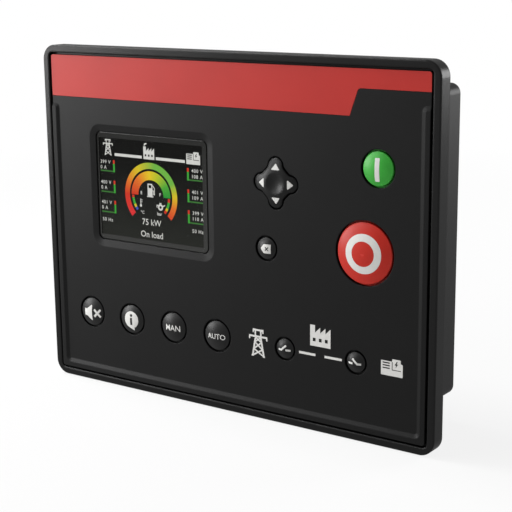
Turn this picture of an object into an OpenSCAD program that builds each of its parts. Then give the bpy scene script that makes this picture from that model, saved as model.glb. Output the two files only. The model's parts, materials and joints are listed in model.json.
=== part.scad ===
// Panel-mounted generator-set controller: front frame, fascia, display, keys and rear housing.
// Origin: centre of the face that bears on the panel. +X to the right, +Y into the panel, +Z up.
// The front faces -Y. Front-side heights are counted from the panel face towards the viewer.

/* [Front frame] */
// Overall width of the front frame
bezel_w = 242; // [238:1:260]
// Overall height of the front frame
bezel_h = 186; // [183:1:204]
// Depth of the frame in front of the panel
bezel_depth = 8.5; // [8:0.1:11]
// Outer corner radius of the frame
bezel_r = 8; // [7:0.5:12]
// Width of the raised rim, seen from the front
rim_w = 4; // [3.2:0.1:4.6]
// Rounding of the rim's outer front edge
rim_fillet = 0.7; // [0.4:0.1:2]
// Rounding of the rim's inner front edge
rim_inner_fillet = 0.6; // [0.2:0.1:1]
// Gap between the rim and the fascia
groove_w = 1.1; // [0.6:0.1:1.6]
// Width of the seal in the bearing face
gasket_w = 4.5; // [3:0.1:5]
// Depth of the seal's groove
gasket_t = 1.5; // [1:0.1:2.5]
// Distance of the seal from the frame's outer edge
gasket_inset = 3.5; // [2.5:0.1:4.5]

/* [Fascia] */
// Corner radius of the fascia
plate_r = 1.4; // [0.8:0.1:3]
// Thickness of the fascia
plate_t = 2.4; // [2.2:0.1:3]
// Depth of the fascia's field below the rim
face_recess = 0.9; // [0.5:0.1:1.2]
// Width of the ridge's flat top
ridge_top_w = 2.6; // [1.5:0.1:4]
// Width of the ridge's slope
ridge_slope_w = 2; // [1:0.1:3]
// Inner corner radius at the foot of the ridge
ridge_r = 1.2; // [0.5:0.1:8]
// Corner radius at the upper ends of the ridge
ridge_end_r = 0.8; // [0.3:0.1:1.5]
// Distance of the left ridge end from the band
ridge_left_gap = 3.9; // [2:0.1:20]
// Distance of the right ridge end from the band
ridge_right_gap = 6.3; // [2:0.1:20]

/* [Colour band] */
// Height of the band
band_h = 22.3; // [14:0.1:26]
// Height of the band over the right-hand notch
notch_h = 9.3; // [5:0.1:12]
// Place of the notch's slanted edge at its foot, as a share of the fascia's width
notch_share = 0.3167; // [0.25:0.0005:0.38]
// Sideways run of the slanted edge
notch_run = 4.7; // [2:0.1:8]
// Rounding of the notch's inner corner
notch_r = 2; // [1:0.1:3]
// Thickness of the band
band_t = 0.5; // [0.4:0.05:0.7]
// Depth of the band's recess
band_recess = 0.4; // [0.2:0.05:0.6]
// Gap round the band in its recess
band_gap = 0.1; // [0.05:0.05:0.3]

/* [Display] */
// Sideways place of the window, as a share of the fascia's width
window_x_share = -0.2092; // [-0.225:0.0005:-0.2]
// Height of the window, as a share of the fascia's height
window_z_share = 0.1052; // [0.08:0.0005:0.12]
// Width of the window
window_w = 75.4; // [73.8:0.2:78]
// Height of the window's opening
window_h = 59.4; // [57.8:0.2:64]
// Corner radius of the window
window_r = 3.5; // [2:0.1:5]
// Width of the pocket's slope
pocket_slope_w = 3.7; // [2:0.1:5]
// Depth of the pocket
pocket_depth = 0.7; // [0.4:0.05:0.8]
// Thickness of the window lens
lens_t = 0.8; // [0.6:0.1:1]
// Gap round the lens
lens_gap = 0.3; // [0.05:0.05:0.5]
// Width of the ledge that carries the lens
lens_ledge = 1.2; // [0.8:0.1:2]
// Overlap of the display module past the window, sideways, in all
module_over_x = 1.5; // [1:0.1:4]
// Overlap of the display module past the window, upwards, in all
module_over_z = 4.5; // [2:0.1:6]
// Offset of the module from the window's centre
module_dx = -1.4; // [-1.6:0.1:1.6]
// Thickness of the display's glass
glass_t = 1.2; // [0.8:0.1:2]

/* [Keys] */
// Sideways place of the first mode key, as a share of the fascia's width
mode_share = -0.4; // [-0.405:0.0005:-0.39]
// Distance between the mode keys, as a share of the fascia's width
mode_pitch_share = 0.1245; // [0.11:0.0005:0.13]
// Height of the lower row of keys, as a share of the fascia's height
row_share = -0.3038; // [-0.31:0.0005:-0.29]
// Diameter of a mode key
mode_d = 15.8; // [14:0.1:18]
// Diameter of the breaker keys
breaker_d = 10.4; // [9:0.1:13]
// Sideways place of the mains breaker key, as a share of the width
mains_share = 0.157; // [0.14:0.0005:0.17]
// Sideways place of the generator breaker key, as a share of the width
generator_share = 0.3348; // [0.32:0.0005:0.35]
// Sideways place of the cancel key, as a share of the width
cancel_x_share = 0.1105; // [0.1:0.0005:0.13]
// Height of the cancel key, as a share of the fascia's height
cancel_z_share = -0.0182; // [-0.04:0.0002:0]
// Diameter of the cancel key
cancel_d = 11.2; // [9:0.1:13]
// Sideways place of the start key, as a share of the width
start_x_share = 0.3835; // [0.36:0.0005:0.39]
// Height of the start key, as a share of the fascia's height
start_z_share = 0.2389; // [0.22:0.0005:0.25]
// Diameter of the start key
start_d = 16.4; // [14:0.1:19]
// Sideways place of the stop key, as a share of the width
stop_x_share = 0.3538; // [0.34:0.0005:0.36]
// Height of the stop key, as a share of the fascia's height
stop_z_share = 0.0062; // [-0.02:0.0002:0.02]
// Diameter of the stop key
stop_d = 30; // [26:0.1:33]
// Gap between a key and its opening
key_gap = 1; // [0.4:0.05:1.3]
// Rise of the small keys' domes above the fascia
dome_rise = 1.3; // [0.6:0.1:2]
// Rise of the stop key's dome above the fascia
stop_rise = 2.2; // [1:0.1:3]
// Rounding of a key's edge
key_edge_r = 0.6; // [0.3:0.05:1]
// Width of the flange that holds a key behind the fascia
key_flange_w = 1.7; // [1.3:0.1:2]
// Thickness of that flange
key_flange_t = 1; // [0.8:0.1:1.4]

/* [Navigation pad] */
// Sideways place of the navigation pad, as a share of the width
nav_x_share = 0.1359; // [0.13:0.0005:0.15]
// Height of the navigation pad, as a share of the fascia's height
nav_z_share = 0.1718; // [0.16:0.0005:0.19]
// Distance of a lobe from the pad's centre
nav_lobe_at = 8.6; // [8:0.1:9.5]
// Radius of a lobe
nav_lobe_r = 3.9; // [3.4:0.1:4.4]
// Half width of the pad across its waists
nav_waist = 8.4; // [7.8:0.1:9]
// Radius of the hollow curve between a lobe and a waist
nav_hollow_r = 3.2; // [2.4:0.1:3.6]
// Rise of the pad above the fascia
nav_rise = 1.7; // [1:0.1:2.4]
// Radius of the sphere that crowns the pad
nav_crown_r = 42; // [30:1:80]
// Radius of the central dish, across
nav_dish_r = 6.2; // [3:0.1:7]
// Depth of the central dish
nav_dish_depth = 1.2; // [0.5:0.1:1.5]
// Height of the ball over the front board
pivot_floor = 0.65; // [0.5:0.05:1.2]
// Running gap round that ball
pivot_gap = 0.1; // [0.05:0.01:0.2]
// Free height over the pad's flange for its tilt
nav_flange_drop = 1; // [0.95:0.05:1.2]
// Thickness of the pad's flange
nav_flange_t = 0.8; // [0.6:0.1:1]

/* [Rear housing] */
// Overlap of the frame over the panel, at each side
flange_x = 11; // [9:0.5:14]
// Overlap of the frame over the panel, above and below
flange_z = 13; // [10:0.5:15]
// Gap between the housing and the cut-out, at the sides and above
cutout_gap = 1; // [0.5:0.1:1.5]
// Gap between the housing and the cut-out, below
cutout_gap_low = 4.2; // [1:0.1:6]
// Depth of the housing behind the panel face
cover_depth = 35.7; // [33:0.1:38]
// Thickness of the housing's side walls
cover_wall = 3; // [2.6:0.1:3.4]
// Thickness of the housing's back wall
cover_back_t = 2.5; // [2:0.1:3]
// Corner radius of the housing
cover_r = 5; // [4:0.5:6]
// Rounding of the housing's back edge
cover_fillet = 1.5; // [0.5:0.1:2.5]
// Distance of a case screw from the housing's inner corner, each way
case_screw_inset = 5; // [4.6:0.1:6]
// Diameter of a case screw
case_screw_d = 3; // [2.5:0.5:3.5]
// Length of a fixing-clip slot
clip_slot_l = 14; // [10:0.5:20]
// Width of a fixing-clip slot
clip_slot_w = 5; // [4:0.5:6]
// Sideways place of the fixing-clip slots, as a share of the housing's inner width
clip_share = 0.34; // [0.28:0.005:0.38]
// Length of a vent slot
vent_l = 26; // [18:1:32]
// Width of a vent slot
vent_w = 2.4; // [1.6:0.1:3]
// Number of vent slots in a row
vent_count = 12; // [4:1:14]
// Distance between the vent slots
vent_pitch = 5.6; // [4.5:0.1:6]

/* [Boards] */
// Thickness of a circuit board
board_t = 1.6; // [1.2:0.2:2]
// Gap between the boards and the housing's walls
board_gap = 3.5; // [2.5:0.1:4]
// Distance between the two boards
board_space = 12.4; // [11.8:0.1:13]
// Distance of the spacer rows from the housing's inner wall
spacer_inset = 7.6; // [7:0.1:9]
// Width across flats of a spacer
spacer_af = 5; // [4.5:0.1:5.5]
// Diameter of a board screw
board_screw_d = 2.5; // [2:0.1:3]
// Thickness of the key mat
mat_t = 1.2; // [0.8:0.1:1.5]
// Thickness of a mat dome's wall
mat_wall = 0.6; // [0.4:0.1:0.8]
// Free travel between a dome's contact and the board
key_travel = 1; // [0.6:0.1:1.1]

/* [Terminals] */
// Pitch of the terminals
term_pitch = 5.08; // [5:0.01:5.2]
// Distance of the terminal rows from the housing's inner wall
term_inset = 22; // [18:0.5:26]
// Sideways place of the outer blocks, as a share of the housing's inner width
term_share = 0.2925; // [0.28:0.0005:0.3]
// Ways of an outer terminal block
outer_ways = 10; // [6:1:11]
// Ways of a middle terminal block
middle_ways = 8; // [6:1:11]
// Height of a plug across its screws
plug_h = 11; // [10:0.5:12]
// Reach of a plug behind the housing
plug_reach = 9; // [8:0.5:12]
// Wall of a terminal header
header_wall = 1; // [0.8:0.1:1.4]
// Side of a wire opening
wire_side = 3.4; // [2.8:0.1:3.6]
// Radius of a terminal's screw hole
term_hole_r = 1.9; // [1.6:0.1:2.1]

/* [Hidden] */
$fn = 64;

// Past-the-surface allowance for cuts
eps = 1;

// Front heights: distance in front of the panel face
face_f = bezel_depth - face_recess;
seat_f = face_f - plate_t;
pocket_f = face_f - pocket_depth;
lens_back_f = pocket_f - lens_t;
lens_ledge_t = 0.5;
module_front_f = lens_back_f - lens_ledge_t;
key_back_f = seat_f - key_flange_t;
nav_front_f = seat_f - nav_flange_drop;
nav_back_f = nav_front_f - nav_flange_t;

// Plan sizes
plate_inset = rim_w + groove_w;
plate_w = bezel_w - 2 * plate_inset;
plate_h = bezel_h - 2 * plate_inset;
seat_w = bezel_w - 2 * rim_w;
seat_h = bezel_h - 2 * rim_w;
seat_r = plate_r + groove_w;
cutout_w = bezel_w - 2 * flange_x;
cutout_h = bezel_h - 2 * flange_z;
cover_w = cutout_w - 2 * cutout_gap;
cover_h = cutout_h - cutout_gap - cutout_gap_low;
back_z = (cutout_gap_low - cutout_gap) / 2;
inner_w = cover_w - 2 * cover_wall;
inner_h = cover_h - 2 * cover_wall;
inner_r = cover_r - cover_wall;
board_w = inner_w - 2 * board_gap;
board_h = inner_h - 2 * board_gap;
band_z = plate_h / 2 - band_h;
notch_z = plate_h / 2 - notch_h;
notch_x = plate_w * notch_share;
ridge_root = 0.2;
ridge_left_end = band_z - ridge_left_gap;
ridge_right_end = notch_z - ridge_right_gap;
window_x = plate_w * window_x_share;
window_z = plate_h * window_z_share;
lens_w = window_w - 2 * lens_gap;
lens_h = window_h - 2 * lens_gap;
lens_r = window_r - lens_gap;

// Depths behind the panel face
main_y = board_t + board_space;
main_back_y = main_y + board_t;
cover_inner_y = cover_depth - cover_back_t;

// Case screws, lugs and posts
case_x = inner_w / 2 - case_screw_inset;
case_z = inner_h / 2 - case_screw_inset;
case_corners = [[1, 1], [-1, 1], [-1, -1], [1, -1]];
lug_t = 2;
lug_wall = 4;
lug_r = case_screw_d / 2 + lug_wall;
post_wall = 3;
post_r = case_screw_d / 2 + post_wall;
cover_post_over = 0.4;
cover_post_r = case_screw_inset + cover_post_over;
screw_gap = 0.2;
thread_gap = 0.05;
case_head_r = case_screw_d * 0.95;
case_head_t = case_screw_d * 0.7;
case_head_sink = 7;
case_head_y = cover_depth - case_head_sink;
case_tip_in = 1.2;
case_tip_f = seat_f + case_tip_in;
post_clear = 1;
board_notch = case_screw_inset + cover_post_r - board_gap + post_clear;

// Board bosses and spacers
spacer_shares = [-0.383, 0.06, 0.439];
spacer_z = inner_h / 2 - spacer_inset;
spacer_places = [for (share = spacer_shares, s = [-1, 1]) [board_w * share, s * spacer_z]];
boss_wall = 1.75;
boss_r = board_screw_d / 2 + boss_wall;
boss_root = 0.5;
stud_reach = 3.4;
board_head_r = board_screw_d;
board_head_t = 1.6;
board_screw_reach = 5;

// Keys: place on the face, diameter and dome rise
mode_x = plate_w * mode_share;
mode_pitch = plate_w * mode_pitch_share;
row_z = plate_h * row_share;
mains_x = plate_w * mains_share;
generator_x = plate_w * generator_share;
cancel_x = plate_w * cancel_x_share;
cancel_z = plate_h * cancel_z_share;
start_x = plate_w * start_x_share;
start_z = plate_h * start_z_share;
stop_x = plate_w * stop_x_share;
stop_z = plate_h * stop_z_share;
nav_x = plate_w * nav_x_share;
nav_z = plate_h * nav_z_share;
mode_places = [for (i = [0:3]) [mode_x + i * mode_pitch, row_z]];
small_keys = [
  [mode_places[0], mode_d], [mode_places[1], mode_d], [mode_places[2], mode_d], [mode_places[3], mode_d],
  [[cancel_x, cancel_z], cancel_d], [[mains_x, row_z], breaker_d], [[generator_x, row_z], breaker_d],
  [[start_x, start_z], start_d]
];
all_keys = concat(small_keys, [[[stop_x, stop_z], stop_d]]);
key_edge_f = face_f;
dome_share = 0.26;
dome_spread = 1.8;
pill_share = 0.6;
nav_gap = 0.8;
nav_flange_w = 1.5;
nav_tip = nav_lobe_at + nav_lobe_r;
nav_dome_r = 1.5;
nav_pivot_drop = 0.25;
nav_pivot_f = nav_back_f - nav_pivot_drop;
pivot_r = nav_pivot_f - pivot_floor;
seat_wall = 1;
seat_drop = 1;
nav_dirs = [[1, 0], [0, 1], [-1, 0], [0, -1]];

// Key mat outline, set by the keys it serves
mat_margin = 5;
mat_gap = 0.5;
mat_left = max(mode_x - mode_d / 2 - mat_margin, mat_gap - board_w / 2);
mat_right = min(max(start_x + start_d / 2, stop_x + stop_d / 2) + mat_margin, board_w / 2 - mat_gap);
mat_floor = back_z + mat_gap + max(boss_r - spacer_z, lug_r - case_z);
mat_low = max(row_z - mode_d / 2 - mat_margin, mat_floor);
mat_strip_top = row_z + mode_d / 2 + mat_margin;
mat_step = 2;
mat_inner = cancel_x - cancel_d / 2 - mat_margin - mat_step;
mat_top = start_z + start_d / 2 + mat_margin;

// Display module
module_w = window_w + module_over_x;
module_h = window_h + module_over_z;
module_x = window_x + module_dx;
glass_gap = 0.2;
module_gap = 0.3;
module_wall = 0.8;
glass_w = module_w - 2 * module_wall - 2 * glass_gap;
glass_h = module_h - 2 * module_wall - 2 * glass_gap;
ribbon_w = 32;
ribbon_t = 0.3;
ribbon_l = 6;
ribbon_f = 0.9;
ribbon_z = window_z - module_h / 2 - ribbon_l;
zif_h = 4.5;
zif_ear = 2.5;
zif_t = 2;
zif_bite = 2.5;

// Terminal blocks: place on the back and number of ways, one row above and one below
term_z = inner_h / 2 - term_inset;
term_dx = inner_w * term_share;
block_ways = [outer_ways, middle_ways, outer_ways];
blocks = [for (s = [1, -1], i = [0:2]) [[(i - 1) * term_dx, s * term_z], block_ways[i], s]];
header_base_t = 4;
header_depth = 11;
header_floor_y = main_back_y + header_base_t;
header_rim_y = main_back_y + header_depth;
plug_end_y = cover_depth + plug_reach;
plug_fit = 0.2;
plug_step = 1.2;
nose_h = plug_h - 2 * plug_step;
pin_side = 1;
pin_reach = 6;
pin_slot_h = 2.4;
wire_depth = 8;
screw_y = plug_end_y - plug_reach / 2;
term_screw_gap = 0.15;
term_screw_r = term_hole_r - term_screw_gap;
term_screw_l = 2.6;
term_screw_sink = 0.5;
window_gap = 0.4;

// Communication ports on the back
port_x = [inner_w * -0.122, inner_w * 0.114];
port_z = inner_h * -0.092;
net_w = 16;
net_h = 13.5;
net_hole_w = 11.8;
net_hole_h = 7;
net_latch_w = 4.6;
net_latch_h = 3;
net_hole_depth = 12;
serial_w = 31;
serial_h = 12.6;
serial_shell_w = 16.4;
serial_shell_h = 8.2;
serial_shell_r = 2.4;
serial_lean = 10;
serial_rise = 5.5;
serial_pin_r = 0.55;
serial_pin_pitch = 2.74;
serial_row = 1.42;

// Parts on the main board
chip_side = 14;
chip_t = 1.6;
chip_at = [board_w * -0.137, board_h * 0.124];
chip_edge = 1;
chip_foot = 0.4;
relay_size = [20, 10, 10];
relay_pitch = 13;
relay_places = [for (i = [0:3]) [board_w * 0.107 + i * relay_pitch, board_h * 0.207]];
cap_r = 4;
cap_h = 10;
cap_pitch = 12;
cap_places = [for (i = [0:2]) [board_w * -0.38 + i * cap_pitch, board_h * 0.18]];
cell_r = 10;
cell_t = 3.2;
cell_at = [board_w * -0.302, board_h * -0.152];
holder_wall = 1.6;
holder_ear = 4.5;
holder_foot_w = 2 * (cell_r + holder_ear);
holder_foot_h = 8;
holder_notch = 9;
holder_floor = 1.4;
cell_fit = 0.2;
link_at = [board_w * 0.117, board_h * -0.166];
link_edge = 2;
link_w = 34;
link_h = 6;
link_header_t = 4;
link_tongue_h = 2.4;
link_tongue_l = 4;
link_fit = 0.2;

// Helpers in the face's plane: X across, Y up the face, Z towards the viewer
module on_face() {
  rotate([90, 0, 0]) children();
}

// The same plane, centred on the housing, which sits higher than the frame
module on_back() {
  translate([0, 0, back_z]) on_face() children();
}

module rounded(w, h, r) {
  square([w - 2 * r, h], center = true);
  square([w, h - 2 * r], center = true);
  for (sx = [-1, 1], sy = [-1, 1]) {
    translate([sx * (w / 2 - r), sy * (h / 2 - r)]) circle(r);
  }
}

module slab(f0, f1) {
  translate([0, 0, f0]) linear_extrude(f1 - f0) children();
}

module disc(at, r, f0, f1) {
  translate([at[0], at[1], f0]) cylinder(h = f1 - f0, r = r);
}

// A profile swept round a rounded rectangle: X is the distance from the corner arc's centre
module swept(w, h, r) {
  for (k = [0:3]) {
    side = k % 2 == 0 ? h - 2 * r : w - 2 * r;
    reach = k % 2 == 0 ? w / 2 - r : h / 2 - r;
    rotate([0, 0, 90 * k]) {
      translate([reach, side / 2, 0]) rotate([90, 0, 0]) linear_extrude(side) children();
      translate([reach, side / 2, 0]) rotate_extrude(angle = 90) children();
    }
  }
}

// What a fillet takes off a corner at (x, y); sx and sy point to the corner
module fillet_waste(x, y, r, sx, sy) {
  difference() {
    translate([sx > 0 ? x - r : x - eps, sy > 0 ? y - r : y - eps]) square([r + eps, r + eps]);
    translate([x - sx * r, y - sy * r]) circle(r);
  }
}

// Front frame

module bezel() {
  color([0.11, 0.11, 0.11]) on_face() {
    difference() {
      slab(0, bezel_depth) rounded(bezel_w, bezel_h, bezel_r);
      translate([0, back_z, 0]) slab(-eps, bezel_depth + eps) rounded(inner_w, inner_h, inner_r);
      slab(seat_f, bezel_depth + eps) rounded(seat_w, seat_h, seat_r);
      slab(-eps, gasket_t) gasket_outline();
      swept(bezel_w, bezel_h, bezel_r) fillet_waste(bezel_r, bezel_depth, rim_fillet, 1, 1);
      swept(seat_w, seat_h, seat_r) fillet_waste(seat_r, bezel_depth, rim_inner_fillet, -1, 1);
    }
    translate([0, back_z, 0]) bezel_lugs();
  }
}

// Lugs in the frame's inner corners, clamped between the housing and the fascia
module bezel_lugs() {
  difference() {
    intersection() {
      union() {
        for (c = case_corners) {
          disc([c[0] * case_x, c[1] * case_z], lug_r, 0, lug_t);
        }
      }
      slab(0, lug_t) rounded(inner_w + 1, inner_h + 1, inner_r);
    }
    for (c = case_corners) {
      disc([c[0] * case_x, c[1] * case_z], case_screw_d / 2 + screw_gap, -eps, lug_t + eps);
    }
  }
}

module gasket_outline() {
  difference() {
    rounded(bezel_w - 2 * gasket_inset, bezel_h - 2 * gasket_inset, bezel_r - gasket_inset);
    rounded(
      bezel_w - 2 * (gasket_inset + gasket_w), bezel_h - 2 * (gasket_inset + gasket_w), 1
    );
  }
}

module panel_gasket() {
  color([0.2, 0.2, 0.21]) on_face() slab(0, gasket_t) gasket_outline();
}

// Fascia

module face_plate() {
  color([0.13, 0.13, 0.13]) on_face() {
    difference() {
      union() {
        slab(seat_f, face_f) rounded(plate_w, plate_h, plate_r);
        ridge();
        translate([0, back_z, 0]) face_posts();
      }
      slab(face_f - band_recess, face_f + eps) band_outline(0);
      display_pocket();
      for (k = all_keys) {
        disc(k[0], k[1] / 2 + key_gap, seat_f - eps, bezel_depth + eps);
      }
      translate([nav_x, nav_z, 0]) slab(seat_f - eps, bezel_depth + eps) nav_outline(nav_gap);
      translate([0, back_z, 0]) face_post_holes();
    }
  }
}

// Bosses for the front board and posts for the case screws, on the fascia's back
module face_posts() {
  for (p = spacer_places) {
    disc(p, boss_r, 0, seat_f + boss_root);
  }
  for (c = case_corners) {
    disc([c[0] * case_x, c[1] * case_z], post_r, lug_t, seat_f + boss_root);
  }
}

module face_post_holes() {
  for (p = spacer_places) {
    disc(p, board_screw_d / 2 + thread_gap, -eps, stud_reach + 0.5);
  }
  for (c = case_corners) {
    disc([c[0] * case_x, c[1] * case_z], case_screw_d / 2 + thread_gap, 0, case_tip_f + 0.3);
  }
}

// The ridge's section, from its foot outwards; the fascia's outline trims its outer side
module ridge_section(foot, out) {
  polygon([
    [foot, face_f - ridge_root], [foot, face_f], [foot + ridge_slope_w, bezel_depth],
    [foot + out, bezel_depth], [foot + out, face_f - ridge_root]
  ]);
}

// U-shaped ridge along the left, lower and right edges
module ridge() {
  foot_w = ridge_top_w + ridge_slope_w;
  field_w = plate_w - 2 * foot_w;
  low = -plate_h / 2 + foot_w;
  out = 1.5 * (foot_w + ridge_r);
  end_r = ridge_slope_w + ridge_end_r;
  intersection() {
    slab(seat_f, bezel_depth + eps) rounded(plate_w, plate_h, plate_r);
    union() {
      for (s = [-1, 1]) {
        top = (s < 0 ? ridge_left_end : ridge_right_end) - end_r;
        translate([s * (field_w / 2 - ridge_r), 0, 0]) mirror([s < 0 ? 1 : 0, 0, 0]) {
          translate([0, top, 0]) rotate([90, 0, 0]) linear_extrude(top - low - ridge_r)
            ridge_section(ridge_r, out);
          translate([0, low + ridge_r, 0]) rotate([0, 0, -90]) rotate_extrude(angle = 90)
            ridge_section(ridge_r, out);
          translate([ridge_r + end_r, top, 0]) ridge_end(out);
        }
      }
      rotate([0, 0, -90]) translate([-low - ridge_r, field_w / 2 - ridge_r, 0]) rotate([90, 0, 0])
        linear_extrude(field_w - 2 * ridge_r) ridge_section(ridge_r, out);
    }
  }
}

// Upper end of an arm: its slope turns the corner and runs out to the fascia's edge
module ridge_end(out) {
  end_r = ridge_slope_w + ridge_end_r;
  root_f = face_f - ridge_root;
  section = [[0, root_f], [end_r, root_f], [end_r, face_f], [ridge_end_r, bezel_depth], [0, bezel_depth]];
  rotate([0, 0, 90]) rotate_extrude(angle = 90) polygon(section);
  rotate([90, 0, 90]) linear_extrude(out) polygon(section);
}

module band_outline(gap) {
  top = plate_h / 2 - gap;
  low = band_z + gap;
  right = plate_w / 2 - gap;
  notch = notch_z + gap;
  slant = notch_run / (notch_z - band_z);
  corner = notch_x + notch_run;
  difference() {
    intersection() {
      rounded(plate_w - 2 * gap, plate_h - 2 * gap, plate_r - gap);
      translate([-right, low]) square([2 * right, top - low]);
    }
    difference() {
      polygon([
        [notch_x - gap, band_z], [corner - gap, notch], [right + eps, notch], [right + eps, band_z - eps],
        [notch_x - gap - slant * eps, band_z - eps]
      ]);
      notch_corner(corner - gap, notch, slant);
    }
  }
}

// Rounds the notch's inner corner: the sliver between the two edges and their common arc
module notch_corner(x, z, slant) {
  lean = atan(slant);
  reach = notch_r * tan((90 - lean) / 2);
  difference() {
    polygon([
      [x, z], [x + reach, z], [x + reach, z - notch_r],
      [x - reach * sin(lean), z - reach * cos(lean)]
    ]);
    translate([x + reach, z - notch_r]) circle(notch_r);
  }
}

module band_inlay() {
  color([0.78, 0.16, 0.15]) on_face()
    slab(face_f - band_recess, face_f - band_recess + band_t) band_outline(band_gap);
}

// Sloped pocket, lens seat and the view behind it
module display_pocket() {
  pocket_r = window_r + pocket_slope_w;
  pocket_w = window_w + 2 * pocket_slope_w;
  pocket_h = window_h + 2 * pocket_slope_w;
  translate([window_x, window_z, 0]) {
    slab(pocket_f, face_f + eps) rounded(window_w, window_h, window_r);
    swept(pocket_w, pocket_h, pocket_r)
      polygon([
        [window_r - 0.5, pocket_f], [window_r, pocket_f], [pocket_r, face_f], [pocket_r, face_f + eps],
        [window_r - 0.5, face_f + eps]
      ]);
    slab(lens_back_f, face_f + eps) rounded(window_w, window_h, window_r);
    slab(seat_f - eps, face_f)
      rounded(window_w - 2 * lens_ledge, window_h - 2 * lens_ledge, window_r - lens_ledge);
  }
  translate([module_x, window_z, 0]) slab(seat_f - eps, module_front_f)
    square([module_w + 2 * module_gap, module_h + 2 * module_gap], center = true);
}

module window_lens() {
  color([0.6, 0.65, 0.68]) on_face() translate([window_x, window_z, 0])
    slab(lens_back_f, pocket_f) rounded(lens_w, lens_h, lens_r);
}

module display_glass() {
  color([0.05, 0.06, 0.07]) on_face() translate([module_x, window_z, 0])
    slab(module_front_f - glass_t, module_front_f - 0.1) square([glass_w, glass_h], center = true);
}

// Backlight tray: a shallow can that holds the glass and stands on the front board
module display_frame() {
  color([0.72, 0.72, 0.7]) on_face() translate([module_x, window_z, 0]) difference() {
    slab(0, module_front_f - 0.1) square([module_w, module_h], center = true);
    slab(module_front_f - glass_t, module_front_f + eps)
      square([module_w - 2 * module_wall, module_h - 2 * module_wall], center = true);
  }
}

module display_ribbon() {
  color([0.75, 0.45, 0.12]) on_face()
    translate([module_x, window_z - module_h / 2 - ribbon_l / 2, 0])
      slab(ribbon_f, ribbon_f + ribbon_t) square([ribbon_w, ribbon_l], center = true);
}

module ribbon_connector() {
  color([0.85, 0.83, 0.75]) on_face() translate([module_x, ribbon_z + zif_bite - zif_h / 2, 0]) difference() {
    slab(0, zif_t) square([ribbon_w + 2 * zif_ear, zif_h], center = true);
    translate([0, zif_h / 2 - zif_bite / 2, 0]) slab(ribbon_f, ribbon_f + ribbon_t)
      square([ribbon_w + 0.4, zif_bite], center = true);
  }
}

// Keys

// Domed cap with a rounded edge and a retaining flange
module domed_key(at, d, rise) {
  r = d / 2;
  top_r = r - key_edge_r;
  sphere_r = (top_r * top_r + rise * rise) / (2 * rise);
  on_face() translate([at[0], at[1], 0]) rotate_extrude() {
    translate([0, key_back_f]) square([r + key_flange_w, key_flange_t]);
    translate([0, key_back_f]) square([r, key_edge_f - key_edge_r - key_back_f]);
    translate([0, key_back_f]) square([top_r, key_edge_f - key_back_f]);
    intersection() {
      translate([top_r, key_edge_f - key_edge_r]) circle(key_edge_r);
      translate([top_r - eps, key_edge_f - 2 * key_edge_r]) square([2 * eps, 2 * key_edge_r]);
    }
    intersection() {
      translate([0, key_edge_f + rise - sphere_r]) circle(sphere_r);
      translate([0, key_edge_f - 0.2]) square([top_r, rise + 1]);
    }
  }
}

module black_key(at, d) {
  color([0.1, 0.1, 0.1]) domed_key(at, d, dome_rise);
}

module key_start() {
  color([0.22, 0.6, 0.25]) domed_key([start_x, start_z], start_d, dome_rise);
}

module key_stop() {
  color([0.8, 0.17, 0.15]) domed_key([stop_x, stop_z], stop_d, stop_rise);
}

module key_mute() {
  black_key(mode_places[0], mode_d);
}

module key_info() {
  black_key(mode_places[1], mode_d);
}

module key_manual() {
  black_key(mode_places[2], mode_d);
}

module key_auto() {
  black_key(mode_places[3], mode_d);
}

module key_cancel() {
  black_key([cancel_x, cancel_z], cancel_d);
}

module key_mains_breaker() {
  black_key([mains_x, row_z], breaker_d);
}

module key_generator_breaker() {
  black_key([generator_x, row_z], breaker_d);
}

// Four lobes joined by waists through hollow curves, grown by a gap
module nav_outline(grow) {
  rotate(45) square(2 * (nav_waist + grow), center = true);
  for (k = [0:3]) {
    rotate(90 * k) {
      translate([nav_lobe_at, 0]) circle(nav_lobe_r + grow);
      rotate(-45) nav_hollow(grow);
      mirror([0, 1, 0]) rotate(-45) nav_hollow(grow);
    }
  }
}

// The corner between a waist, here at Y = nav_waist, and a lobe, up to their common arc
module nav_hollow(grow) {
  lobe = nav_lobe_at / sqrt(2);
  high = nav_waist + nav_hollow_r;
  run = sqrt(pow(nav_lobe_r + nav_hollow_r, 2) - pow(high - lobe, 2));
  difference() {
    polygon([[lobe - run, nav_waist - 1], [lobe - run, high], [lobe, lobe]]);
    translate([lobe - run, high]) circle(nav_hollow_r - grow);
  }
}

module nav_key() {
  crown_f = face_f + nav_rise;
  dish_sphere = (nav_dish_r * nav_dish_r + nav_dish_depth * nav_dish_depth) / (2 * nav_dish_depth);
  color([0.1, 0.1, 0.1]) on_face() translate([nav_x, nav_z, 0]) difference() {
    union() {
      slab(nav_back_f, nav_front_f) nav_outline(nav_flange_w);
      intersection() {
        slab(nav_back_f, crown_f + eps) nav_outline(0);
        translate([0, 0, crown_f - nav_crown_r]) rotate([0, 90, 0]) sphere(nav_crown_r);
      }
    }
    translate([0, 0, crown_f + dish_sphere - nav_dish_depth]) rotate([0, -90, 0]) sphere(dish_sphere);
    translate([0, 0, nav_pivot_f]) rotate([0, 90, 0]) sphere(pivot_r + pivot_gap);
  }
}

module nav_pivot() {
  color([0.85, 0.85, 0.82]) on_face() translate([nav_x, nav_z, nav_pivot_f]) sphere(pivot_r);
}

// Cup on the front board that carries the ball
module nav_seat() {
  color([0.25, 0.25, 0.26]) on_face() translate([nav_x, nav_z, 0]) difference() {
    cylinder(h = nav_pivot_f - seat_drop, r = pivot_r + seat_wall);
    translate([0, 0, nav_pivot_f]) sphere(pivot_r + pivot_gap);
  }
}

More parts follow.
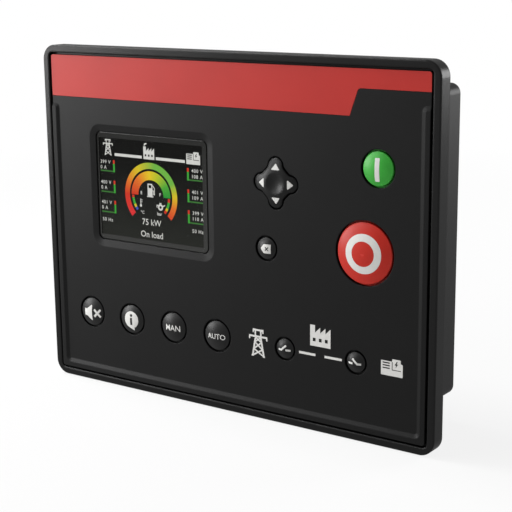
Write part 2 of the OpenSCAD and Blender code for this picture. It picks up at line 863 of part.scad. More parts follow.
// One silicone mat with a hollow dome under every key and four under the navigation pad
module keypad_mat() {
  color([0.35, 0.36, 0.38]) on_face() {
    difference() {
      slab(0, mat_t) mat_outline();
      for (k = all_keys) {
        disc(k[0], dome_foot(k[1]) - mat_wall, -eps, mat_t + eps);
      }
      for (d = nav_dirs) {
        disc([nav_x, nav_z] + d * nav_lobe_at, nav_dome_r + dome_spread - mat_wall, -eps, mat_t + eps);
      }
      disc([nav_x, nav_z], pivot_r + seat_wall + mat_gap, -eps, mat_t + eps);
    }
    for (k = all_keys) {
      translate([k[0][0], k[0][1], 0]) mat_dome(k[1] * dome_share, key_back_f);
    }
    for (d = nav_dirs) {
      translate([nav_x + d[0] * nav_lobe_at, nav_z + d[1] * nav_lobe_at, 0]) mat_dome(nav_dome_r, nav_back_f);
    }
  }
}

function dome_foot(d) = d * dome_share + dome_spread;

module mat_outline() {
  translate([mat_left, mat_low]) square([mat_right - mat_left, mat_strip_top - mat_low]);
  translate([mat_inner, mat_low]) square([mat_right - mat_inner, mat_top - mat_low]);
}

// Half section: a leaning wall, a flat top and a contact pill that stops short of the board
module mat_dome(top_r, top_f) {
  foot = top_r + dome_spread;
  rotate_extrude()
    polygon([
      [0, key_travel], [top_r * pill_share, key_travel], [top_r * pill_share, top_f - mat_wall],
      [top_r - mat_wall * 0.4, top_f - mat_wall], [foot - mat_wall, mat_t * 0.5], [foot - mat_wall, 0],
      [foot, 0], [foot, mat_t], [top_r, top_f], [0, top_f]
    ]);
}

// Boards

module board_outline() {
  difference() {
    square([board_w, board_h], center = true);
    for (c = case_corners) {
      translate([c[0] * board_w / 2, c[1] * board_h / 2]) square(2 * board_notch, center = true);
    }
    for (p = spacer_places) {
      translate(p) circle(board_screw_d / 2 + screw_gap);
    }
  }
}

module front_board() {
  color([0.1, 0.35, 0.2]) on_back() slab(-board_t, 0) board_outline();
}

module main_board() {
  color([0.1, 0.35, 0.2]) on_back() slab(-main_back_y, -main_y) board_outline();
}

// Hexagonal stand-offs with a stud that holds the front board to the fascia
module spacers() {
  color([0.8, 0.68, 0.4]) on_back() for (p = spacer_places) {
    difference() {
      union() {
        translate([p[0], p[1], -main_y]) cylinder(h = board_space, r = spacer_af / sqrt(3), $fn = 6);
        disc(p, board_screw_d / 2, -board_t - eps, stud_reach);
      }
      disc(p, board_screw_d / 2 + thread_gap, -main_y - eps, -main_y + board_screw_reach);
    }
  }
}

module board_screws() {
  color([0.75, 0.75, 0.77]) on_back() for (p = spacer_places) {
    difference() {
      union() {
        disc(p, board_head_r, -main_back_y - board_head_t, -main_back_y);
        disc(p, board_screw_d / 2, -main_back_y - eps / 2, -main_y + board_screw_reach - 1);
      }
      translate([p[0], p[1], -main_back_y - board_head_t]) cross_slot(board_head_r * 1.2, 0.7, 0.8);
    }
  }
}

module cross_slot(l, w, depth) {
  cube([l, w, 2 * depth], center = true);
  cube([w, l, 2 * depth], center = true);
}

module link_header() {
  color([0.12, 0.12, 0.13]) on_back() translate([link_at[0], link_at[1], 0]) {
    slab(-board_t - link_header_t, -board_t) square([link_w, link_h], center = true);
    slab(-board_t - link_header_t - link_tongue_l, -board_t - link_header_t + 0.1)
      square([link_w - 2 * link_edge, link_tongue_h], center = true);
  }
}

module link_socket() {
  color([0.85, 0.82, 0.72]) on_back() translate([link_at[0], link_at[1], 0]) difference() {
    slab(-main_y, -board_t - link_header_t) square([link_w, link_h], center = true);
    slab(-board_t - link_header_t - link_tongue_l - link_fit, -board_t - link_header_t + eps)
      square([link_w - 2 * link_edge + 2 * link_fit, link_tongue_h + 2 * link_fit], center = true);
  }
}

module processor() {
  color([0.09, 0.09, 0.1]) on_back() translate([chip_at[0], chip_at[1], -main_y]) {
    slab(chip_foot / 2, chip_t) square(chip_side, center = true);
    slab(0, chip_foot) square(chip_side + 2 * chip_edge, center = true);
  }
}

module relays() {
  color([0.16, 0.16, 0.17]) on_back() for (p = relay_places) {
    translate([p[0], p[1], -main_y + relay_size[2] / 2])
      cube([relay_size[1], relay_size[0], relay_size[2]], center = true);
  }
}

module capacitors() {
  color([0.2, 0.22, 0.3]) on_back() for (p = cap_places) {
    disc(p, cap_r, -main_y, -main_y + cap_h);
  }
}

module coin_cell_holder() {
  color([0.15, 0.15, 0.16]) on_back() translate([cell_at[0], cell_at[1], -main_y]) difference() {
    union() {
      cylinder(h = holder_floor + cell_t, r = cell_r + cell_fit + holder_wall);
      translate([0, 0, holder_floor / 2]) cube([holder_foot_w, holder_foot_h, holder_floor], center = true);
    }
    translate([0, 0, holder_floor]) cylinder(h = cell_t + eps, r = cell_r + cell_fit);
    translate([0, -cell_r - holder_wall, holder_floor + cell_t / 2 + eps])
      cube([holder_notch, 4 * holder_wall, cell_t + 2 * eps], center = true);
  }
}

module coin_cell() {
  floor_f = -main_y + holder_floor;
  color([0.78, 0.78, 0.8]) on_back() disc(cell_at, cell_r, floor_f, floor_f + cell_t);
}

// Rear housing

module rear_cover() {
  color([0.14, 0.14, 0.14]) on_back() {
    difference() {
      slab(-cover_depth, 0) rounded(cover_w, cover_h, cover_r);
      difference() {
        slab(-cover_inner_y, eps) rounded(inner_w, inner_h, inner_r);
        for (c = case_corners) {
          disc([c[0] * case_x, c[1] * case_z], cover_post_r, -cover_depth, 0);
        }
      }
      swept(cover_w, cover_h, cover_r) fillet_waste(cover_r, -cover_depth, cover_fillet, 1, -1);
      for (c = case_corners) {
        at = [c[0] * case_x, c[1] * case_z];
        disc(at, case_screw_d / 2 + screw_gap, -cover_depth - eps, eps);
        disc(at, case_head_r + screw_gap, -cover_depth - eps, -case_head_y);
      }
      for (b = blocks) {
        translate([b[0][0], b[0][1], 0]) slab(-cover_depth - eps, -cover_inner_y + eps)
          square([plug_w(b[1]) + 2 * window_gap, plug_h + 2 * window_gap], center = true);
      }
      port_windows();
      vents();
      clip_slots();
    }
  }
}

module port_windows() {
  translate([port_x[0], port_z, 0]) slab(-cover_depth - eps, -cover_inner_y + eps)
    square([net_w + 2 * window_gap, net_h + 2 * window_gap], center = true);
  translate([port_x[1], port_z, 0]) slab(-cover_depth - eps, -cover_inner_y + eps)
    d_shape(serial_shell_w + 2 * window_gap, serial_shell_h + 2 * window_gap, serial_shell_r);
}

// Rounded rectangle with leaning ends
module d_shape(w, h, r) {
  difference() {
    rounded(w, h, r);
    for (s = [-1, 1]) {
      translate([s * w / 2, h / 2]) rotate(s * -serial_lean) translate([s * w / 4, -h / 2])
        square([w / 2, 2 * h], center = true);
    }
  }
}

module vents() {
  for (i = [0:vent_count - 1]) {
    translate([(i - (vent_count - 1) / 2) * vent_pitch, vent_l / 2 + 2, 0])
      slab(-cover_depth - eps, -cover_inner_y + eps) vent_slot();
  }
}

module vent_slot() {
  square([vent_w, vent_l - vent_w], center = true);
  for (s = [-1, 1]) {
    translate([0, s * (vent_l - vent_w) / 2]) circle(vent_w / 2);
  }
}

// Slots in the upper and lower walls for the clips that draw the frame against the panel
module clip_slots() {
  slot_y = cover_depth * 0.6;
  for (sx = [-1, 1], sz = [-1, 1]) {
    translate([sx * inner_w * clip_share, sz * (cover_h / 2 - cover_wall / 2), -slot_y])
      cube([clip_slot_l, cover_wall + 2 * eps, clip_slot_w], center = true);
  }
}

module case_screws() {
  color([0.75, 0.75, 0.77]) on_back() for (c = case_corners) {
    at = [c[0] * case_x, c[1] * case_z];
    difference() {
      union() {
        disc(at, case_head_r, -case_head_y - case_head_t, -case_head_y);
        disc(at, case_screw_d / 2, -case_head_y - eps / 2, case_tip_f);
      }
      translate([at[0], at[1], -case_head_y - case_head_t]) cross_slot(case_head_r * 1.2, 0.8, 1);
    }
  }
}

// Terminals

function plug_w(ways) = ways * term_pitch + 1;
function way_x(ways, i) = (i - (ways - 1) / 2) * term_pitch;

module terminal_header(b) {
  shell_w = plug_w(b[1]);
  color([0.12, 0.13, 0.13]) on_back() translate([b[0][0], b[0][1], 0]) difference() {
    slab(-header_rim_y, -main_back_y) square([shell_w, plug_h], center = true);
    slab(-header_rim_y - eps, -header_floor_y)
      square([shell_w - 2 * header_wall, plug_h - 2 * header_wall], center = true);
    for (i = [0:b[1] - 1]) {
      translate([way_x(b[1], i), 0, 0]) slab(-header_floor_y - eps, -main_back_y + eps)
        square(pin_side, center = true);
    }
  }
}

module terminal_plug(b) {
  body_w = plug_w(b[1]);
  color([0.1, 0.42, 0.22]) on_back() translate([b[0][0], b[0][1], 0]) difference() {
    union() {
      slab(-plug_end_y, -header_rim_y) square([body_w, plug_h], center = true);
      slab(-header_rim_y - 0.5, -header_floor_y)
        square([body_w - 2 * header_wall - 2 * plug_fit, nose_h], center = true);
    }
    slab(-header_floor_y - pin_reach - 1, -header_floor_y + eps)
      square([body_w - 2 * header_wall - 2 * plug_fit - 1.6, pin_slot_h], center = true);
    for (i = [0:b[1] - 1]) {
      translate([way_x(b[1], i), 0, 0]) {
        slab(-plug_end_y - eps, -plug_end_y + wire_depth)
          translate([0, -b[2] * 1.4]) square(wire_side, center = true);
        translate([0, b[2] * plug_h / 2, -screw_y]) rotate([90, 0, 0])
          cylinder(h = plug_h, r = term_hole_r, center = true);
      }
    }
  }
}

module terminal_pins() {
  color([0.78, 0.74, 0.6]) on_back() for (b = blocks, i = [0:b[1] - 1]) {
    translate([b[0][0] + way_x(b[1], i), b[0][1], 0]) slab(-header_floor_y - pin_reach, -main_back_y)
      square(pin_side, center = true);
  }
}

// Slotted clamp screws, sunk in the plugs' outer sides
module terminal_screws() {
  color([0.76, 0.76, 0.78]) on_back() for (b = blocks, i = [0:b[1] - 1]) {
    translate([
      b[0][0] + way_x(b[1], i), b[0][1] + b[2] * (plug_h / 2 - term_screw_sink - term_screw_l / 2), -screw_y
    ]) rotate([90, 0, 0]) difference() {
      cylinder(h = term_screw_l, r = term_screw_r, center = true);
      translate([0, 0, -b[2] * term_screw_l / 2]) cube([2 * term_screw_r + eps, 0.6, 1.2], center = true);
    }
  }
}

module terminal_header_1() { terminal_header(blocks[0]); }
module terminal_header_2() { terminal_header(blocks[1]); }
module terminal_header_3() { terminal_header(blocks[2]); }
module terminal_header_4() { terminal_header(blocks[3]); }
module terminal_header_5() { terminal_header(blocks[4]); }
module terminal_header_6() { terminal_header(blocks[5]); }
module terminal_plug_1() { terminal_plug(blocks[0]); }
module terminal_plug_2() { terminal_plug(blocks[1]); }
module terminal_plug_3() { terminal_plug(blocks[2]); }
module terminal_plug_4() { terminal_plug(blocks[3]); }
module terminal_plug_5() { terminal_plug(blocks[4]); }
module terminal_plug_6() { terminal_plug(blocks[5]); }

// Communication ports

// Eight-way modular socket with its latch notch
module network_port() {
  color([0.75, 0.75, 0.76]) on_back() translate([port_x[0], port_z, 0]) difference() {
    slab(-cover_depth, -main_back_y) square([net_w, net_h], center = true);
    slab(-cover_depth - eps, -cover_depth + net_hole_depth) {
      square([net_hole_w, net_hole_h], center = true);
      translate([0, -net_hole_h / 2 - net_latch_h / 2 + 0.1])
        square([net_latch_w, net_latch_h], center = true);
    }
  }
}

// Nine-way serial socket: flange behind the housing's wall and a D-shaped shell through it
module serial_port() {
  end_f = -cover_depth - serial_rise;
  color([0.72, 0.72, 0.73]) on_back() translate([port_x[1], port_z, 0]) difference() {
    union() {
      slab(-cover_inner_y, -main_back_y) square([serial_w, serial_h], center = true);
      slab(end_f, -cover_inner_y + 0.5) d_shape(serial_shell_w, serial_shell_h, serial_shell_r);
    }
    for (i = [0:4]) {
      disc([(i - 2) * serial_pin_pitch, serial_row], serial_pin_r, end_f - eps, -cover_depth);
    }
    for (i = [0:3]) {
      disc([(i - 1.5) * serial_pin_pitch, -serial_row], serial_pin_r, end_f - eps, -cover_depth);
    }
  }
}

bezel();
face_plate();
band_inlay();
window_lens();
display_glass();
display_frame();
display_ribbon();
ribbon_connector();
key_start();
key_stop();
key_mute();
key_info();
key_manual();
key_auto();
key_cancel();
key_mains_breaker();
key_generator_breaker();
nav_key();
nav_pivot();
nav_seat();
keypad_mat();
front_board();
spacers();
main_board();
board_screws();
link_header();
link_socket();
processor();
relays();
capacitors();
coin_cell_holder();
coin_cell();
rear_cover();
panel_gasket();
case_screws();
terminal_header_1();
terminal_header_2();
terminal_header_3();
terminal_header_4();
terminal_header_5();
terminal_header_6();
terminal_plug_1();
terminal_plug_2();
terminal_plug_3();
terminal_plug_4();
terminal_plug_5();
terminal_plug_6();
terminal_pins();
terminal_screws();
network_port();
serial_port();
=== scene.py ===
import json
import math

import bpy
from mathutils import Matrix, Vector
from mathutils.geometry import delaunay_2d_cdt


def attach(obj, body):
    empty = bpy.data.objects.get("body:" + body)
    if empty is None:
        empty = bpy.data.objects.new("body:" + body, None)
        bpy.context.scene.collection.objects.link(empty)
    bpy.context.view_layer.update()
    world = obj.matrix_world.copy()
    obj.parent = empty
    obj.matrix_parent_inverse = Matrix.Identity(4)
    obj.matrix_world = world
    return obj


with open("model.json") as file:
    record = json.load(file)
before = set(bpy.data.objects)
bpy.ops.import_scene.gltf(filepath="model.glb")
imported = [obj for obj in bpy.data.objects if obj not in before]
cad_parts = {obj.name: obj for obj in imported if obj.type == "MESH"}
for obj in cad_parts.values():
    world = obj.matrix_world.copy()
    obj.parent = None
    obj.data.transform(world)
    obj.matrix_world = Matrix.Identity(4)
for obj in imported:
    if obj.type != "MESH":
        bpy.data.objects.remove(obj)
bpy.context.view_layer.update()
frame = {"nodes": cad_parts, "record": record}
NODES = frame["nodes"]
MM = 0.001

# Heights in front of the panel face, in mm, as in the solids
SCREEN, LENS_BACK, LENS_FRONT, FACE = 5.5, 6.1, 6.9, 7.6
# How far a print stands off its surface, and each shape of a print off the one before it
PRINT_LIFT, LAYER_LIFT = 0.025, 0.0012

# Keys: centre across and up, diameter, and rise of the dome inside the rounded edge
LOW_ROW, MODE_D, BREAKER_D, RISE = -53.41, 15.8, 10.4, 1.3
KEY_EDGE = 0.6
KEYS = {
    "key_mute": (-92.72, LOW_ROW, MODE_D, RISE),
    "key_info": (-63.86, LOW_ROW, MODE_D, RISE),
    "key_manual": (-35.0, LOW_ROW, MODE_D, RISE),
    "key_auto": (-6.14, LOW_ROW, MODE_D, RISE),
    "key_cancel": (25.61, -3.2, 11.2, RISE),
    "key_mains_breaker": (36.39, LOW_ROW, BREAKER_D, RISE),
    "key_generator_breaker": (77.61, LOW_ROW, BREAKER_D, RISE),
    "key_start": (88.9, 42.0, 16.4, RISE),
    "key_stop": (82.01, 1.09, 30.0, 2.2),
}
# Navigation pad: centre, and height and radius of its domed top
NAV = (31.5, 30.2)
NAV_CROWN, NAV_R = 9.3, 42.0
# Lit field of the display: centre, size and corner radius
DISPLAY, FIELD, FIELD_R = (-49.9, 18.2), (70.1, 53.0), 0.6
# Dial on the display: centre, and inner and outer radius of its bands
DIAL = (DISPLAY[0], DISPLAY[1] - 2.65)
OUTER_BAND, INNER_BAND, SMALL_BAND = (14.5, 17.8), (8.6, 13.3), (11.5, 13.0)
# Centre of the window over the display
WINDOW = (-48.49, 18.49)


def link(ob):
    bpy.context.scene.collection.objects.link(ob)
    return ob


def srgb(r, g, b):
    """The linear colour of a screen colour from 0 to 255."""
    def linear(v):
        v /= 255.0
        return v / 12.92 if v <= 0.04045 else ((v + 0.055) / 1.055) ** 2.4
    return (linear(r), linear(g), linear(b), 1.0)


def grey(v):
    return srgb(v, v, v)


def scaled(color, k):
    return tuple(min(c * k, 1.0) for c in color[:3]) + (1.0,)


# Shader nodes

# Most of a noise texture's values lie between these
NOISE_LOW, NOISE_HIGH = 0.3, 0.7


def put(tree, socket, value):
    """Links another node's output to a socket, or sets the socket's own value."""
    if isinstance(value, bpy.types.NodeSocket):
        tree.links.new(value, socket)
    else:
        socket.default_value = value


def add_node(tree, kind, inputs):
    """A node of the kind named, with the inputs linked or set."""
    made = tree.nodes.new("ShaderNode" + kind)
    for socket, value in inputs.items():
        put(tree, made.inputs[socket], value)
    return made


def add_math(tree, operation, *values):
    made = add_node(tree, "Math", dict(enumerate(values)))
    made.operation = operation
    return made.outputs[0]


def add_range(tree, value, from_low, from_high, to_low=0.0, to_high=1.0):
    limits = {"From Min": from_low, "From Max": from_high, "To Min": to_low, "To Max": to_high}
    return add_node(tree, "MapRange", {"Value": value, **limits}).outputs["Result"]


def add_position(tree):
    """The place on the part, in its own frame."""
    return tree.nodes.new("ShaderNodeTexCoord").outputs["Object"]


def add_axes(tree):
    return add_node(tree, "SeparateXYZ", {0: add_position(tree)}).outputs


def add_noise(tree, size, detail=2.0, stretch=None):
    """Noise whose features are about size metres across."""
    place_on_part = add_position(tree)
    if stretch:
        mapping = add_node(tree, "Mapping", {"Vector": place_on_part, "Scale": stretch})
        place_on_part = mapping.outputs["Vector"]
    looks = {"Vector": place_on_part, "Scale": 1.0 / size, "Detail": detail}
    return add_node(tree, "TexNoise", looks).outputs["Fac"]


def add_ramp(tree, fac, stops):
    ramp = add_node(tree, "ValToRGB", {"Fac": fac})
    elements = ramp.color_ramp.elements
    while len(elements) < len(stops):
        elements.new(0.5)
    for element, (position, color) in zip(elements, stops):
        element.position = position
        element.color = color
    return ramp.outputs["Color"]


def add_mottle(tree, noise, low, high):
    return add_ramp(tree, noise, [(NOISE_LOW, low), (NOISE_HIGH, high)])


# Materials

def new_material(name):
    """A material with one shader on its output: the material, its node tree and the shader."""
    material = bpy.data.materials.new(name)
    material.use_nodes = True
    tree = material.node_tree
    tree.nodes.clear()
    out = tree.nodes.new("ShaderNodeOutputMaterial")
    shader = tree.nodes.new("ShaderNodeBsdfPrincipled")
    tree.links.new(shader.outputs[0], out.inputs[0])
    return material, tree, shader


def surface(name, color, rough, tone, blotch, bump, grain=0.0003, vary=0.06, metal=0.0, spec=0.5,
            round_r=0.0, stretch=None, coat=0.0, coat_rough=0.15):
    """A worked surface: two-tone mottling, grain as bump, uneven gloss, and softly rounded edges."""
    material, tree, shader = new_material(name)
    patches = add_noise(tree, blotch, 3.0)
    mottle = add_mottle(tree, patches, scaled(color, 1 - tone), scaled(color, 1 + tone))
    fine = add_noise(tree, grain, 3.0, stretch)
    gloss = add_range(tree, fine, NOISE_LOW, NOISE_HIGH, rough - vary, rough + vary)
    relief = add_node(tree, "Bump", {"Strength": bump, "Distance": grain * 0.25, "Height": fine})
    if round_r:
        rounding = add_node(tree, "Bevel", {"Radius": round_r})
        rounding.samples = 4
        put(tree, relief.inputs["Normal"], rounding.outputs["Normal"])
    normal = relief.outputs["Normal"]
    looks = {"Base Color": mottle, "Roughness": gloss, "Normal": normal, "Metallic": metal,
             "Specular IOR Level": spec}
    if coat:
        looks.update({"Coat Weight": coat, "Coat Roughness": coat_rough, "Coat Normal": normal})
    for socket, value in looks.items():
        put(tree, shader.inputs[socket], value)
    return material


def pixel_grid(tree):
    """Dark lines between the display's picture elements, as a factor up to 1."""
    pitch, darkest = 0.00022, 0.75
    axes = add_axes(tree)
    waves = []
    for axis in ("X", "Z"):
        turns = add_math(tree, "MULTIPLY", axes[axis], 2 * math.pi / pitch)
        waves.append(add_math(tree, "SINE", turns))
    return add_range(tree, add_math(tree, "ADD", *waves), -1.2, 0.2, darkest, 1.0)


def lit(name, add_color, pixels=True):
    """A glowing surface, backlit for the display and painted light for the mask: add_color builds its
    colour, and pixels lays the picture elements over it.
    """
    material, tree, shader = new_material(name)
    looks = {"Base Color": (0.004, 0.004, 0.004, 1), "Roughness": 0.3, "Specular IOR Level": 0.0,
             "Emission Color": add_color(tree), "Emission Strength": pixel_grid(tree) if pixels else 1.0}
    for socket, value in looks.items():
        put(tree, shader.inputs[socket], value)
    return material


def even(color):
    """One colour, very slightly uneven."""
    stops = [(0.25, scaled(color, 0.92)), (0.75, scaled(color, 1.06))]
    return lambda tree: add_ramp(tree, add_noise(tree, 0.004), stops)


def rising(*stops):
    """Colour stops by height, from 0 at the foot of the lit field to 1 at its top."""
    foot, top = ((DISPLAY[1] + half * FIELD[1] / 2) * MM for half in (-1, 1))
    return lambda tree: add_ramp(tree, add_range(tree, add_axes(tree)["Z"], foot, top), stops)


def turning(*stops):
    """Colour stops by angle round the dial, in degrees anticlockwise from the right, -180 to 180."""
    shares = [((angle + 180.0) / 360.0, color) for angle, color in stops]

    def add_color(tree):
        axes = add_axes(tree)
        flat = add_node(tree, "CombineXYZ", {"X": axes["X"], "Y": axes["Z"]}).outputs[0]
        shift = (-DIAL[0] * MM, -DIAL[1] * MM, 0)
        centred = add_node(tree, "Mapping", {"Vector": flat, "Location": shift}).outputs["Vector"]
        angle = add_node(tree, "TexGradient", {"Vector": centred})
        angle.gradient_type = "RADIAL"
        return add_ramp(tree, angle.outputs["Fac"], shares)
    return add_color


def clear_lens(name):
    """Coated clear plastic: lets the display through and keeps a faint gloss on its front."""
    material, tree, shader = new_material(name)
    put(tree, shader.inputs["Base Color"], (0.95, 0.95, 0.95, 1))
    put(tree, shader.inputs["Metallic"], 1.0)
    gloss = add_range(tree, add_noise(tree, 0.0008), NOISE_LOW, NOISE_HIGH, 0.06, 0.1)
    put(tree, shader.inputs["Roughness"], gloss)
    see_through = add_node(tree, "BsdfTransparent", {"Color": (0.97, 0.975, 0.97, 1)})
    fresnel = add_node(tree, "Fresnel", {"IOR": 1.05})
    geometry = tree.nodes.new("ShaderNodeNewGeometry")
    front = add_math(tree, "SUBTRACT", 1.0, geometry.outputs["Backfacing"])
    share = add_math(tree, "MULTIPLY", fresnel.outputs[0], front)
    mix = add_node(tree, "MixShader", {0: share, 1: see_through.outputs[0], 2: shader.outputs[0]})
    put(tree, tree.nodes["Material Output"].inputs[0], mix.outputs[0])
    return material


LOOKS = {
    "frame_black": dict(color=grey(10), rough=0.42, tone=0.12, blotch=0.04, bump=0.3, grain=0.0004,
                        spec=0.0, round_r=0.001, coat=0.28, coat_rough=0.29),
    "housing_black": dict(color=grey(18), rough=0.42, tone=0.12, blotch=0.04, bump=0.4, grain=0.0004,
                          spec=0.0, round_r=0.0003, coat=0.32, coat_rough=0.44),
    "fascia_black": dict(color=grey(12), rough=0.42, tone=0.1, blotch=0.05, bump=0.3, vary=0.05,
                         spec=0.1, round_r=0.0007),
    "band_red": dict(color=srgb(163, 37, 31), rough=0.42, tone=0.05, blotch=0.03, bump=0.15, vary=0.05,
                     spec=0.16, round_r=0.0001),
    "key_green": dict(color=srgb(50, 148, 50), rough=0.34, tone=0.08, blotch=0.008, bump=0.2,
                      spec=0.18, round_r=0.0004),
    "key_red": dict(color=srgb(169, 36, 25), rough=0.36, tone=0.06, blotch=0.012, bump=0.2,
                    spec=0.16, round_r=0.0004),
    "key_black": dict(color=grey(11), rough=0.36, tone=0.12, blotch=0.01, bump=0.2,
                      spec=0.17, round_r=0.0004),
    "nav_black": dict(color=grey(5), rough=0.32, tone=0.12, blotch=0.006, bump=0.15,
                      spec=0.16, round_r=0.0022),
    "print_white": dict(color=srgb(198, 197, 194), rough=0.5, tone=0.03, blotch=0.002, bump=0.1,
                        grain=0.00025, vary=0.05, spec=0.15),
    # Lit and shaded copies of one lens edge: a painted highlight for the top and painted shade for the gap
    # round the rest
    "lens_edge_painted_highlight": dict(color=grey(6), rough=0.2, tone=0.05, blotch=0.01, bump=0.1, grain=0.0004,
                            vary=0.05, spec=0.35),
    "lens_edge_painted_shade": dict(color=grey(3), rough=0.5, tone=0.05, blotch=0.01, bump=0.1, grain=0.0004,
                           vary=0.05, spec=0.04),
    "display_dark": dict(color=srgb(52, 52, 51), rough=0.4, tone=0.08, blotch=0.02, bump=0.05,
                         grain=0.0004, vary=0.05, spec=0.3),
    "sheet_metal": dict(color=srgb(190, 190, 188), rough=0.35, tone=0.08, blotch=0.02, bump=0.1,
                        grain=0.0002, vary=0.08, metal=1.0, stretch=(1, 1, 12)),
    "ribbon_amber": dict(color=srgb(186, 120, 40), rough=0.4, tone=0.1, blotch=0.01, bump=0.05,
                         stretch=(20, 1, 1)),
    "connector_ivory": dict(color=srgb(218, 212, 190), rough=0.5, tone=0.06, blotch=0.01, bump=0.1),
    "pivot_white": dict(color=srgb(225, 224, 218), rough=0.3, tone=0.04, blotch=0.004, bump=0.05,
                        grain=0.0002),
    "inner_black": dict(color=srgb(44, 44, 46), rough=0.5, tone=0.1, blotch=0.01, bump=0.2),
    "silicone_grey": dict(color=srgb(120, 122, 126), rough=0.6, tone=0.06, blotch=0.01, bump=0.1),
    "board_green": dict(color=srgb(30, 104, 62), rough=0.35, tone=0.25, blotch=0.003, bump=0.25,
                        grain=0.0004, coat=0.3),
    "brass": dict(color=srgb(205, 172, 104), rough=0.3, tone=0.08, blotch=0.005, bump=0.15,
                  grain=0.0002, metal=1.0, stretch=(1, 14, 1)),
    "screw_steel": dict(color=srgb(196, 197, 200), rough=0.3, tone=0.08, blotch=0.003, bump=0.15,
                        grain=0.0002, vary=0.1, metal=1.0),
    "chip_black": dict(color=srgb(34, 34, 35), rough=0.55, tone=0.1, blotch=0.004, bump=0.2,
                       grain=0.0002),
    "can_blue": dict(color=srgb(54, 60, 92), rough=0.35, tone=0.08, blotch=0.006, bump=0.05),
    "cell_steel": dict(color=srgb(205, 205, 206), rough=0.25, tone=0.06, blotch=0.006, bump=0.1,
                       metal=1.0),
    "seal_grey": dict(color=srgb(40, 40, 42), rough=0.9, tone=0.25, blotch=0.002, bump=0.8,
                      grain=0.0006, vary=0.05, spec=0.2),
    "pin_tin": dict(color=srgb(214, 210, 196), rough=0.3, tone=0.06, blotch=0.003, bump=0.1,
                    grain=0.0002, metal=1.0),
    "port_metal": dict(color=srgb(196, 196, 198), rough=0.32, tone=0.08, blotch=0.006, bump=0.12,
                       grain=0.0002, vary=0.08, metal=1.0, round_r=0.0002),
    "terminal_black": dict(color=srgb(36, 37, 37), rough=0.5, tone=0.1, blotch=0.01, bump=0.2),
    "terminal_green": dict(color=srgb(40, 128, 78), rough=0.46, tone=0.1, blotch=0.012, bump=0.2,
                           round_r=0.0002),
}
MATS = {name: surface(name, **look) for name, look in LOOKS.items()}
MATS["lens_clear"] = clear_lens("lens_clear")

# Each solid wears the material of its slot, and the navigation pad a darker one of its own
LOOK_OF = {row["node"]: row["material_slot"] for row in frame["record"]["subparts"]}
LOOK_OF["nav_key"] = "nav_black"
for node_name, ob in NODES.items():
    for slot in ob.material_slots:
        slot.link = "OBJECT"
        slot.material = MATS[LOOK_OF[node_name]]


# Flat shapes: each is a list of closed loops in mm, the first its outline and the others its holes

def rect(x0, z0, x1, z1):
    return [[(x0, z0), (x1, z0), (x1, z1), (x0, z1)]]


def arc(x, z, r, angles):
    return [(x + r * math.cos(a), z + r * math.sin(a)) for a in angles]


def circle(x, z, r, n=40):
    return [arc(x, z, r, [2 * math.pi * i / n for i in range(n)])]


def ring(x, z, r0, r1, n=72):
    return circle(x, z, r1, n) + circle(x, z, r0, n)


def arc_band(x, z, r0, r1, a0, a1, n):
    """A band between two radii, from a0 to a1 in degrees."""
    angles = [math.radians(a0 + (a1 - a0) * i / n) for i in range(n + 1)]
    return [arc(x, z, r1, angles) + arc(x, z, r0, angles[::-1])]


def stroke(x0, z0, x1, z1, w):
    d = math.hypot(x1 - x0, z1 - z0)
    nx, nz = -(z1 - z0) / d * w / 2, (x1 - x0) / d * w / 2
    return [[(x0 + nx, z0 + nz), (x0 - nx, z0 - nz), (x1 - nx, z1 - nz), (x1 + nx, z1 + nz)]]


def rounded_loop(points, r, n=3):
    """The closed polygon with each corner rounded to about radius r."""
    out = []
    for i, corner in enumerate(points):
        before, p, after = Vector(points[i - 1]), Vector(corner), Vector(points[(i + 1) % len(points)])
        u, v = (before - p).normalized(), (after - p).normalized()
        half = u.angle(v) / 2
        cut = min(r / math.tan(half), (before - p).length * 0.45, (after - p).length * 0.45)
        a, b = p + u * cut, p + v * cut
        for j in range(n + 1):
            t = j / n
            out.append(tuple(a * (1 - t) ** 2 + p * (2 * t * (1 - t)) + b * t ** 2))
    return out


def rounded_rect(x, z, w, h, r, n=8):
    """A loop that starts at the right and goes round by the upper right corner first."""
    across, up = w / 2 - r, h / 2 - r
    out = []
    for cx, cz, start in ((across, up, 0), (-across, up, 90), (-across, -up, 180), (across, -up, 270)):
        angles = [math.radians(start + 90 * j / n) for j in range(n + 1)]
        out += arc(x + cx, z + cz, r, angles)
    return out


def place(shapes, x, z, k=1.0):
    return [[[(x + k * a, z + k * b) for a, b in loop] for loop in shape] for shape in shapes]


def inside(p, loops):
    hit = False
    for loop in loops:
        for i, (x0, z0) in enumerate(loop):
            x1, z1 = loop[i - 1]
            if (z0 > p[1]) != (z1 > p[1]) and p[0] < (x1 - x0) * (p[1] - z0) / (z1 - z0) + x0:
                hit = not hit
    return hit


def facing(v, triangle):
    """The triangle's points in the order that makes its front look out of the panel."""
    a, b, c = (v[i] for i in triangle)
    return list(triangle) if (b - a).cross(c - a) > 0 else list(triangle)[::-1]


def dense(loop, step):
    """The loop with points added, so that none is more than step from the next."""
    out = []
    for i, a in enumerate(loop):
        b = loop[(i + 1) % len(loop)]
        k = max(1, math.ceil(math.hypot(b[0] - a[0], b[1] - a[1]) / step))
        out += [(a[0] + (b[0] - a[0]) * j / k, a[1] + (b[1] - a[1]) * j / k) for j in range(k)]
    return out


def inner_points(loops, rim, step):
    """A square grid of points inside the loops that keeps clear of the points on the rim."""
    low_x, low_z = (min(p[axis] for p in rim) + step / 2 for axis in (0, 1))
    high_x, high_z = (max(p[axis] for p in rim) for axis in (0, 1))
    nearest = (0.5 * step) ** 2
    out = []
    x = low_x
    while x < high_x:
        z = low_z
        while z < high_z:
            if inside((x, z), loops) and min((x - a) ** 2 + (z - b) ** 2 for a, b in rim) > nearest:
                out.append((x, z))
            z += step
        x += step
    return out


